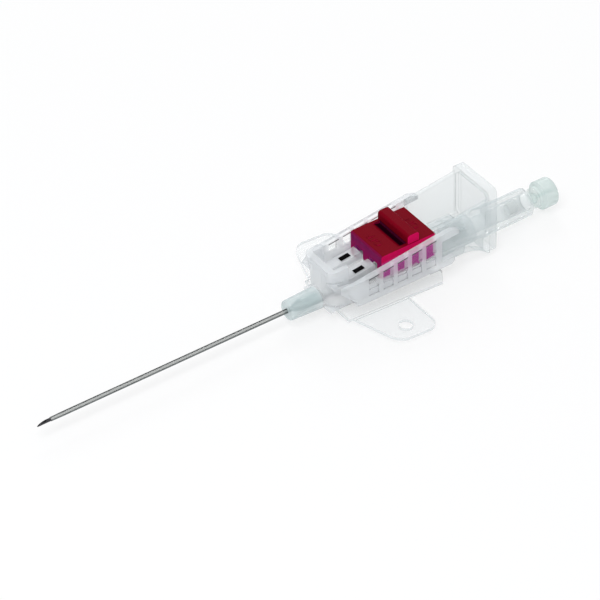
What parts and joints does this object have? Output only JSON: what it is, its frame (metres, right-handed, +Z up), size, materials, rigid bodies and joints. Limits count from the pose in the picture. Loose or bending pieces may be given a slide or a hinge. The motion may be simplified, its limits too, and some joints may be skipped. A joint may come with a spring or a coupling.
{
  "type": "arterial cannula",
  "caption": "Slim catheter over a steel needle, on a winged clear hub with windowed walls, a red slide switch, a luer socket, and a needle grip with flash chamber and vent plug.",
  "frame": {"origin": "on the needle's axis, where the catheter leaves the nozzle's front face", "axes": "+X runs along the needle from its tip towards the vent plug, +Z is up through the switch, and the part is symmetric left to right about the XZ plane"},
  "size_m": [0.102, 0.0308, 0.0134],
  "materials": {
    "catheter": "clear, smooth",
    "steel": "ground and polished",
    "hub_plastic": "clear, slightly frosted",
    "black_mark": "matte",
    "silicone": "translucent, soft",
    "switch_red": "moulded, satin",
    "wing_plastic": "clear, flexible",
    "adhesive": "clear, cured",
    "grip_plastic": "clear, glossy",
    "plug_plastic": "translucent, greenish",
    "filter": "porous, white"
  },
  "bodies": {
    "cannula": {"catheter_tube": "catheter", "catheter_ferrule": "steel", "cannula_hub": "hub_plastic", "index_mark_left": "black_mark", "index_mark_right": "black_mark", "valve_tube": "silicone", "luer_socket": "hub_plastic", "wing_plate": "wing_plastic"},
    "switch": {"slide_switch": "switch_red"},
    "needle_unit": {"needle": "steel", "needle_bond": "adhesive", "needle_grip": "grip_plastic"},
    "plug": {"vent_plug": "plug_plastic", "vent_filter": "filter"}
  },
  "joints": [
    {"name": "switch_slide", "type": "slide", "parent": "cannula", "child": "switch", "axis": [-0.9917, 0, -0.1289], "range_m": [0, 0.0045], "deforming": ["valve_tube"]},
    {"name": "needle_withdrawal", "type": "slide", "parent": "cannula", "child": "needle_unit", "axis": [1, 0, 0], "range_m": [0, 0.09]},
    {"name": "plug_pull", "type": "slide", "parent": "needle_unit", "child": "plug", "axis": [1, 0, 0], "range_m": [0, 0.006]}
  ]
}
